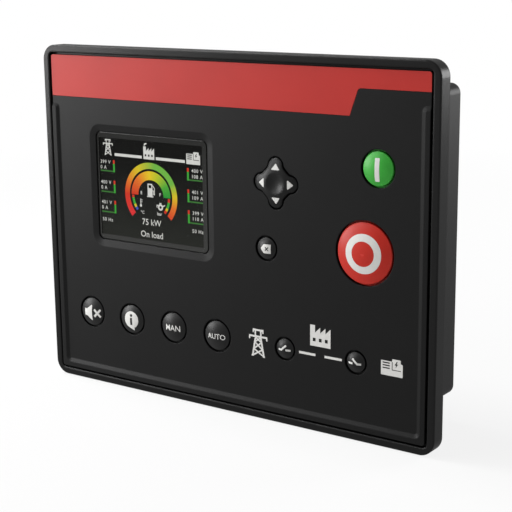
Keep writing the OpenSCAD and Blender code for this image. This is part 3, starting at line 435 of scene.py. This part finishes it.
def fill(loops, step=None):
    """Triangles that fill the loops, with points every step mm where the surface is curved."""
    points, edges = [], []
    for loop in loops:
        rim = dense(loop, step) if step else loop
        start = len(points)
        points += rim
        edges += [(start + i, start + (i + 1) % len(rim)) for i in range(len(rim))]
    if step:
        points += inner_points(loops, list(points), step)
    v, _, faces, *_ = delaunay_2d_cdt([Vector(p) for p in points], edges, [], 0, 1e-7)
    middles = [sum((v[i] for i in face), Vector((0, 0))) / len(face) for face in faces]
    return v, [facing(v, face) for face, middle in zip(faces, middles) if inside(middle, loops)]


def letters(text, x, z, size, align="CENTER", bold=0.0, space=1.0):
    """A line of plain lettering as triangles: cap height is about 0.7 of size."""
    curve = bpy.data.curves.new("lettering", "FONT")
    curve.body = text
    curve.size = size
    curve.align_x = align
    curve.align_y = "CENTER"
    curve.offset = bold
    curve.space_character = space
    curve.resolution_u = 3
    ob = link(bpy.data.objects.new("lettering", curve))
    bpy.context.view_layer.update()
    mesh = ob.evaluated_get(bpy.context.evaluated_depsgraph_get()).to_mesh()
    mesh.calc_loop_triangles()
    v = [Vector((x + p.co.x, z + p.co.y)) for p in mesh.vertices]
    triangles = [facing(v, t.vertices) for t in mesh.loop_triangles]
    ob.to_mesh_clear()
    bpy.data.objects.remove(ob)
    bpy.data.curves.remove(curve)
    return v, triangles


def split(v, triangles, step):
    """Cuts triangles until no side is longer than step, so that lettering follows a dome."""
    v, out, todo = list(v), [], list(triangles)
    middle = {}
    while todo:
        t = todo.pop()
        longest, i = max(((v[t[i]] - v[t[(i + 1) % 3]]).length, i) for i in range(3))
        if longest <= step:
            out.append(t)
            continue
        a, b, c = t[i], t[(i + 1) % 3], t[(i + 2) % 3]
        side = (min(a, b), max(a, b))
        if side not in middle:
            v.append((v[a] + v[b]) / 2)
            middle[side] = len(v) - 1
        todo += [(a, middle[side], c), (middle[side], b, c)]
    return v, out


# Pieces that ride on a body

def add_piece(name, body, material, points, faces):
    """A mesh from points across, up and in front of the panel face, in mm."""
    mesh = bpy.data.meshes.new(name)
    mesh.from_pydata([(x * MM, -height * MM, z * MM) for x, z, height in points], [], faces)
    mesh.materials.append(material)
    ob = link(bpy.data.objects.new(name, mesh))
    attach(ob, body)


def sheet(name, body, material, height, shapes=(), texts=(), step=None):
    """A print: every shape and text lies at height(x, z) mm in front of the panel face."""
    layers = [fill(shape, step) for shape in shapes]
    layers += [split(*text, step) if step else text for text in texts]
    points, faces = [], []
    for i, (v, triangles) in enumerate(layers):
        start = len(points)
        points += [(p[0], p[1], height(p[0], p[1]) + LAYER_LIFT * i) for p in v]
        faces += [[start + k for k in t] for t in triangles]
    add_piece(name, body, material, points, faces)


def level(height):
    return lambda x, z: height


def domed(centre, crown, r):
    """The height of a print on a dome of radius r."""
    def height(x, z):
        across, up = x - centre[0], z - centre[1]
        return crown - r + math.sqrt(max(r ** 2 - across ** 2 - up ** 2, 0.0)) + PRINT_LIFT
    return height


# Pictograms, in mm about their own centre

def pylon():
    out = [stroke(-3.3, 6.6, 3.3, 6.6, 1.0), stroke(-5.7, 3.2, 5.7, 3.2, 1.0)]
    for q in (-1, 1):
        out += [stroke(q * 3.0, 6.6, q * 3.0, 5.1, 0.7), stroke(q * 5.3, 3.2, q * 5.3, 1.5, 0.8),
                stroke(q * 1.7, 6.6, q * 1.7, 2.0, 0.9), stroke(q * 1.7, 2.2, q * 3.5, -7.3, 1.0),
                stroke(-q * 1.6, 2.8, q * 2.0, 0.2, 0.75), stroke(-q * 2.0, 0.2, q * 2.8, -3.6, 0.8),
                stroke(-q * 2.8, -3.4, q * 3.4, -7.0, 0.8), stroke(q * 2.8, -7.1, q * 4.1, -7.1, 0.7)]
    return out


def factory():
    outline = [(-6.1, -5.5), (6.0, -5.5), (6.0, 4.4), (5.8, 4.4), (3.0, 1.6), (3.0, 4.4), (2.8, 4.4),
               (-0.1, 1.6), (-0.1, 4.4), (-0.3, 4.4), (-3.2, 1.6), (-3.2, 5.5), (-6.1, 5.5)]
    windows = [rect(x - 0.85, -3.0, x + 0.85, -1.2)[0] for x in (-3.7, -0.1, 3.5)]
    return [[outline] + windows]


def smoke():
    return [[rounded_loop([(-5.2, 6.0), (-4.9, 7.6), (-3.4, 8.3), (-1.9, 8.2), (-2.4, 7.2), (-3.8, 6.9),
                           (-4.2, 6.0)], 0.4)]]


def genset():
    outline = rounded_loop([(-5.9, -4.2), (5.9, -4.2), (5.9, 2.3), (4.8, 2.3), (4.8, 4.3), (0.2, 4.3),
                            (0.2, 3.0), (-5.9, 3.0)], 0.4)
    grille = [rect(-5.0, z, -1.1, z + 0.65)[0] for z in (1.7, 0.4, -0.9)]
    flash = [(2.7, 3.4), (1.5, 1.4), (2.3, 1.4), (2.0, 0.0), (3.4, 2.1), (2.6, 2.1), (3.2, 3.4)]
    corner_line = [(0.0, 2.9), (0.0, -1.3), (4.9, -1.3), (4.9, -0.9), (0.4, -0.9), (0.4, 2.9)]
    return [[outline] + grille + [flash, corner_line]]


def speaker():
    body = [(-5.0, 2.0), (-3.2, 2.0), (0.6, 4.7), (0.6, -4.7), (-3.2, -2.0), (-5.0, -2.0)]
    cross = [stroke(2.1, q * 2.1, 6.1, -q * 2.1, 1.2) for q in (1, -1)]
    return [[rounded_loop(body, 0.35)]] + cross


def bubble():
    r = 4.6
    tail = [(-1.5, -r * 0.93), (1.6, -r - 1.3), (2.0, -r * 0.86)]
    outline = arc(0, 0, r, [math.radians(a) for a in range(-62, 248, 6)]) + tail
    stem, dot = rect(-0.65, -2.9, 0.75, 1.1)[0], circle(0.05, 2.4, 0.8, 20)[0]
    return [[outline, stem, dot]]


def cancel_tag():
    tag = rounded_loop([(-3.4, 0.0), (-1.3, 2.45), (2.8, 2.45), (2.8, -2.45), (-1.3, -2.45)], 0.35)
    # The cross: its centre, the reach of its arms, half their width across a tip, and its inner corners
    x, c, w = 0.55, 1.15, 0.3
    k = w * 1.4
    cross = [(x, k), (x + c - w, c), (x + c, c - w), (x + k, 0), (x + c, w - c), (x + c - w, -c),
             (x, -k), (x - c + w, -c), (x - c, w - c), (x - k, 0), (x - c, c - w), (x - c + w, c)]
    return [[tag, cross]]


def breaker(q):
    return [stroke(-3.4 * q, -0.35, -1.0 * q, -0.35, 1.0), stroke(-1.4 * q, -0.3, 1.3 * q, 2.1, 0.95),
            stroke(1.1 * q, -0.3, 3.7 * q, -0.3, 1.0)]


def arrow(dx, dz):
    """A triangle that points along dx, dz."""
    a = math.atan2(dz, dx) - math.pi / 2
    turned = [(x * math.cos(a) - z * math.sin(a), x * math.sin(a) + z * math.cos(a))
              for x, z in ((0, 1.75), (-2.5, -1.55), (2.5, -1.55))]
    return [[rounded_loop(turned, 0.35)]]


def fuel_pump():
    body = rounded_loop([(-2.0, -3.2), (-2.0, 3.4), (1.3, 3.4), (1.3, -3.2)], 0.4)
    hose = [(1.3, -0.3, 2.2, -0.3), (2.0, -0.4, 2.0, -2.4), (1.9, -2.3, 2.75, -2.3),
            (2.6, -2.4, 2.6, 1.2), (2.7, 1.0, 1.5, 2.6)]
    foot = rect(-2.5, -3.8, 1.8, -3.25)
    return [[body, rect(-1.3, 1.0, 0.6, 2.7)[0]]] + [stroke(*part, 0.45) for part in hose] + [foot]


def oil_can():
    return [ring(0.0, -0.2, 0.75, 1.75, 32), stroke(1.3, 0.3, 3.1, 1.1, 0.6),
            stroke(-0.7, 1.9, 0.7, 1.9, 0.5), stroke(0, 1.4, 0, 2.0, 0.5),
            stroke(-1.6, 0.6, -2.5, 0.9, 0.45), stroke(-2.4, 1.0, -2.4, -0.6, 0.45)]


def thermometer():
    return [stroke(0, -1.0, 0, 2.2, 0.55), circle(0, -1.5, 0.75, 16),
            stroke(0.5, 1.6, 1.2, 1.6, 0.3), stroke(0.5, 0.6, 1.2, 0.6, 0.3)]


# Prints on the keys, the pad and the fascia

PRINT = MATS["print_white"]
# Spacing of a print's points on a key's dome and on the pad
KEY_STEP, PAD_STEP = 0.6, 0.8


def key_print(key, shapes=(), texts=()):
    """Shapes about the key's centre, or lettering, on the key's dome."""
    x, z, diameter, rise = KEYS[key]
    top_r = diameter / 2 - KEY_EDGE
    r = (top_r * top_r + rise * rise) / (2 * rise)
    height = domed((x, z), FACE + rise, r)
    sheet("print_" + key[4:], key, PRINT, height, place(shapes, x, z), texts, KEY_STEP)


key_print("key_mute", place(speaker(), 0, -0.35))
key_print("key_info", place(bubble(), 0.15, -0.1, 1.02))
for key, word, size in (("key_manual", "MAN", 4.5), ("key_auto", "AUTO", 4.0)):
    key_print(key, texts=[letters(word, KEYS[key][0] + 0.25, KEYS[key][1] - 0.35, size, bold=0.03)])
key_print("key_cancel", place(cancel_tag(), 0.35, 0, 0.96))
key_print("key_mains_breaker", breaker(1))
key_print("key_generator_breaker", breaker(-1))
key_print("key_start", [[rounded_rect(0, -0.35, 2.45, 11.2, 0.5)]])
key_print("key_stop", [ring(0, 0, 6.1, 9.7)])

# How far each arrow lies from the middle of the pad
ARROW_OUT = 8.4
arrows = []
for dx, dz in ((1, 0), (0, 1), (-1, 0), (0, -1)):
    arrows += place(arrow(dx, dz), NAV[0] + 0.45 + ARROW_OUT * dx, NAV[1] - 0.2 + ARROW_OUT * dz)
sheet("print_arrows", "nav_key", PRINT, domed(NAV, NAV_CROWN, NAV_R), arrows, step=PAD_STEP)

fascia = place(pylon(), 20.0, -52.9) + place(factory(), 57.4, -43.65, 0.976) + place(genset(), 97.5, -52.5)
fascia += [rect(44.9, -54.2, 54.5, -52.95), rect(59.8, -54.2, 69.8, -52.95)]
sheet("print_fascia", "root", PRINT, level(FACE + PRINT_LIFT), fascia)


# Display: a dark field with lit read-outs, placed from the middle of the field

FIELD_LIFT, PICTURE_LIFT = 0.01, 0.02
GREEN, RED = srgb(66, 168, 62), srgb(214, 60, 42)
ORANGE, YELLOW, LEAF = srgb(232, 120, 48), srgb(222, 198, 44), srgb(116, 186, 74)
LIT_WHITE = lit("lit_white", even(srgb(222, 221, 217)))
LIT_GREEN = lit("lit_green", even(GREEN))
LIT_UNDER = lit("lit_under", even(srgb(64, 120, 58)))
LIT_RED = lit("lit_red", even(RED))
LIT_BLUE = lit("lit_blue", even(srgb(72, 88, 190)))
LIT_YELLOW = lit("lit_yellow", even(YELLOW))
LIT_OUTER = lit("lit_outer", turning(
    (-180, RED), (-138, srgb(226, 56, 60)), (-44, RED), (-18, ORANGE), (4, YELLOW), (28, LEAF), (80, LEAF),
    (122, YELLOW), (156, ORANGE), (180, RED)))
LIT_INNER = lit("lit_inner", turning(
    (-1, srgb(44, 150, 60)), (30, srgb(84, 172, 62)), (66, srgb(188, 200, 50)), (94, srgb(236, 204, 44)),
    (136, ORANGE), (180, RED)))
LIT_FIELD = lit("lit_field", rising((0.0, srgb(39, 40, 37)), (0.75, srgb(18, 18, 17))), pixels=False)
FIELD_LOOP = rounded_rect(*DISPLAY, *FIELD, FIELD_R)


def on_display(shapes, x=0, z=0, k=1.0):
    return place(shapes, DISPLAY[0] + x, DISPLAY[1] + z, k)


def words(text, x, z, size, align="CENTER", bold=0.02, space=1.0):
    return letters(text, DISPLAY[0] + x, DISPLAY[1] + z, size, align, bold, space)


def reading(text, x, z):
    """A small read-out that starts or ends at x, by the side that it stands on."""
    return words(text, x, z, 2.7, "LEFT" if x < 0 else "RIGHT", space=1.15)


def screen(name, material, shapes=(), texts=(), lift=PICTURE_LIFT):
    sheet("screen_" + name, "root", material, level(SCREEN + lift), shapes, texts)


def dial_band(radii, a0, a1, n=60):
    return arc_band(*DIAL, *radii, a0, a1, n)


screen("field", LIT_FIELD, [[FIELD_LOOP]], lift=FIELD_LIFT)
screen("dial_outer", LIT_OUTER, [dial_band(OUTER_BAND, 222, -41)])
screen("dial_inner", LIT_INNER, [dial_band(INNER_BAND, 180, 0)])
for name, material, spans in (("arcs_red", LIT_RED, ((181.5, 188), (-1.5, -11), (-34, -42))),
                              ("arcs_green", LIT_GREEN, ((188, 205), (-11, -27))),
                              ("arcs_yellow", LIT_YELLOW, ((205, 213), (-27, -34))),
                              ("arcs_blue", LIT_BLUE, ((213, 221),))):
    screen(name, material, [dial_band(SMALL_BAND, a0, a1, 12) for a0, a1 in spans])

bars = [rect(-24.4, 16.95, -5.5, 18.45), rect(4.1, 16.95, 23.4, 18.45)]
icons = on_display(pylon(), -29.0, 21.4, 0.6) + on_display(bars) + on_display(factory(), -0.6, 20.2, 0.61)
icons += on_display(smoke(), -0.6, 20.2, 0.63) + on_display(genset(), 28.85, 19.75, 0.76)
icons += on_display(fuel_pump(), -0.1, 0.6) + on_display(oil_can(), 6.4, -7.8)
icons += on_display(thermometer(), -7.0, -6.8)
state = [words("75 kW", 0.0, -17.0, 4.7, bold=0.03), words("On load", 0.0, -23.6, 4.7, bold=0.03)]
screen("icons", LIT_WHITE, icons, state)

# Six read-outs, three a side, each with a two-coloured bar and a line under it
small = [words("E", -6.5, -1.4, 2.4, bold=0.05), words("F", 6.3, -1.4, 2.4, bold=0.05),
         words("°C", -6.0, -11.9, 2.3, bold=0.04), words("bar", 5.6, -11.7, 2.4, bold=0.04)]
BAR_IN, BAR_OUT, ROW_END = 24.6, 25.8, 34.8
RED_SHARE = 0.3
red, green, under = [], [], []
for row, (high, low) in enumerate(((14.5, 8.0), (3.4, -3.4), (-7.6, -14.5))):
    cut = high - RED_SHARE * (high - low)
    for q in (-1, 1):
        x0, x1 = sorted((q * BAR_IN, q * BAR_OUT))
        red.append(rect(x0, cut, x1, high))
        green.append(rect(x0, low, x1, cut))
        x0, x1 = sorted((q * BAR_OUT, q * ROW_END))
        under.append(rect(x0, low, x1, low + 0.75))
        volts = 399 + (row + (q > 0)) % 3
        amperes = 108 + row if q > 0 else 0
        small += [reading("%d V" % volts, q * ROW_END, high - 1.3)]
        small += [reading("%d A" % amperes, q * ROW_END, high - 4.3)]
small += [reading("50 Hz", q * 34.6, -18.4) for q in (-1, 1)]
screen("red", LIT_RED, on_display(red))
screen("green", LIT_GREEN, on_display(green))
screen("under", LIT_UNDER, on_display(under))
screen("small", LIT_WHITE, texts=small)


# Window: a mask behind the lens round the lit field, whose glow is painted light (lighter at the foot,
# darker at the top as painted shade), and trim on the lens's edge with a painted highlight and painted
# shade

# The mask is no lamp: its glow is painted light, lighter at the foot and darker at the top as painted
# shade
PAINTED_LIGHT_MASK = lit("painted_light_mask", rising((0.0, srgb(61, 61, 60)), (1.0, srgb(45, 45, 44))), pixels=False)
MASK_LOOP = rounded_rect(*WINDOW, 74.6, 58.6, 3.1)
sheet("lens_mask_painted_light", "root", PAINTED_LIGHT_MASK, level(LENS_BACK + 0.01), [[MASK_LOOP, FIELD_LOOP]])

# The trim runs from a low loop up to a high one, with a painted highlight along the top (a glossy copy)
# and painted shade round the rest (a dark, matte copy) of one lens edge
TRIM_LOW = (rounded_rect(*WINDOW, 74.8, 58.8, 3.2, 12), LENS_FRONT - 0.3)
TRIM_HIGH = (rounded_rect(*WINDOW, 73.8, 57.8, 2.7, 12), LENS_FRONT + 0.03)
# Points of the loops, 13 to a corner: from the upper right corner to the upper left one, and on round
TOP_SPAN, OTHER_SPAN = range(9, 24), range(23, 62)


def lens_trim(name, material, span):
    """A strip of the trim over a span of the loops' points."""
    points =[(*loop[i % len(loop)], height) for loop, height in (TRIM_LOW, TRIM_HIGH) for i in span]
    k = len(span)
    add_piece(name, "root", material, points, [(i, i + 1, k + i + 1, k + i) for i in range(k - 1)])


# One lens edge all round, split into a painted highlight along the top and painted shade round the rest
lens_trim("lens_edge_top_painted_highlight", MATS["lens_edge_painted_highlight"], TOP_SPAN)
lens_trim("lens_edge_painted_shadow_gap", MATS["lens_edge_painted_shade"], OTHER_SPAN)


# Camera: solved from the photograph, for a square frame

SENSOR_MM, LENS_MM = 36.0, 91.36
CAMERA_AT = (0.3862, -0.5245, 0.1376)
# A last small nod, to set the part's height in the frame
NOD = 0.0003

camera_data = bpy.data.cameras.new("camera")
camera_data.sensor_width = SENSOR_MM
camera_data.lens = LENS_MM
camera_data.clip_start = 0.01
camera = link(bpy.data.objects.new("camera", camera_data))
right = Vector((0.81671, 0.57696, -0.01033)).normalized()
back = Vector((0.56430, -0.79479, 0.22334)).normalized()
up = back.cross(right).normalized()
right = up.cross(back)
back = (back + NOD * up).normalized()
up = back.cross(right).normalized()
turn = Matrix((right, up, back)).transposed().to_4x4()
camera.matrix_world = Matrix.Translation(CAMERA_AT) @ turn
bpy.context.scene.camera = camera
bpy.context.scene.view_settings.view_transform = "Standard"


# Studio: soft boxes, a white background and a pale floor

def soft_box(name, at, aim, size, watts):
    data = bpy.data.lights.new(name, "AREA")
    data.shape = "RECTANGLE"
    data.size, data.size_y = size
    data.energy = watts
    ob = link(bpy.data.objects.new(name, data))
    ob.location = at
    ob.rotation_euler = (Vector(aim) - Vector(at)).to_track_quat("-Z", "Y").to_euler()


soft_box("key_light", (-0.92, -0.63, 0.12), (-0.06, 0, 0.03), (0.36, 0.42), 8.5)
soft_box("upper_light", (-0.62, -0.83, 0.45), (0, 0, 0), (0.5, 0.2), 3.5)
soft_box("top_strip", (-0.7, -0.1, 0.9), (0, 0, 0.05), (0.5, 0.6), 20)
soft_box("back_light", (0.55, 0.9, 0.2), (0.1, 0, 0.03), (0.5, 0.36), 7.5)


def add_seen(tree):
    """1 for the rays that show the white background, 0 for those that light the part."""
    path = tree.nodes.new("ShaderNodeLightPath").outputs
    either = add_math(tree, "MAXIMUM", path["Is Camera Ray"], path["Is Glossy Ray"])
    return add_math(tree, "MAXIMUM", either, path["Is Transmission Ray"])


WHITE = (1, 1, 1, 1)
world = bpy.data.worlds.new("studio")
bpy.context.scene.world = world
world.use_nodes = True
sky = world.node_tree
sky.nodes.clear()
shown = add_node(sky, "Background", {"Color": WHITE, "Strength": 1.0})
fill_in = add_node(sky, "Background", {"Color": WHITE, "Strength": 0.15})
mix = add_node(sky, "MixShader", {0: add_seen(sky), 1: fill_in.outputs[0], 2: shown.outputs[0]})
add_node(sky, "OutputWorld", {0: mix.outputs[0]})

# The floor keeps some shadow near the part and fades to plain white away from it
FLOOR_R, FLOOR_Z, FLOOR_SIDES = 1.5, -0.0935, 72
FADE_FROM, FADE_TO, WHITE_NEAR = 0.3, 1.0, 0.85
rim = circle(0, 0, FLOOR_R, FLOOR_SIDES)[0]
floor_mesh = bpy.data.meshes.new("floor")
floor_mesh.from_pydata([(x, y, FLOOR_Z) for x, y in rim], [], [list(range(FLOOR_SIDES))])
floor = link(bpy.data.objects.new("floor", floor_mesh))
floor_material, tree, shader = new_material("floor_pale")
put(tree, shader.inputs["Roughness"], 0.9)
put(tree, shader.inputs["Specular IOR Level"], 0.1)
tint = add_mottle(tree, add_noise(tree, 0.3), (0.58, 0.58, 0.58, 1), (0.62, 0.62, 0.62, 1))
put(tree, shader.inputs["Base Color"], tint)
distance = tree.nodes.new("ShaderNodeVectorMath")
distance.operation = "LENGTH"
put(tree, distance.inputs[0], add_position(tree))
fade = add_range(tree, distance.outputs["Value"], FADE_FROM, FADE_TO, WHITE_NEAR, 1.0)
share = add_math(tree, "MULTIPLY", add_seen(tree), fade)
plain_white = tree.nodes.new("ShaderNodeEmission")
mix = add_node(tree, "MixShader", {0: share, 1: shader.outputs[0], 2: plain_white.outputs[0]})
put(tree, tree.nodes["Material Output"].inputs[0], mix.outputs[0])
floor_mesh.materials.append(floor_material)
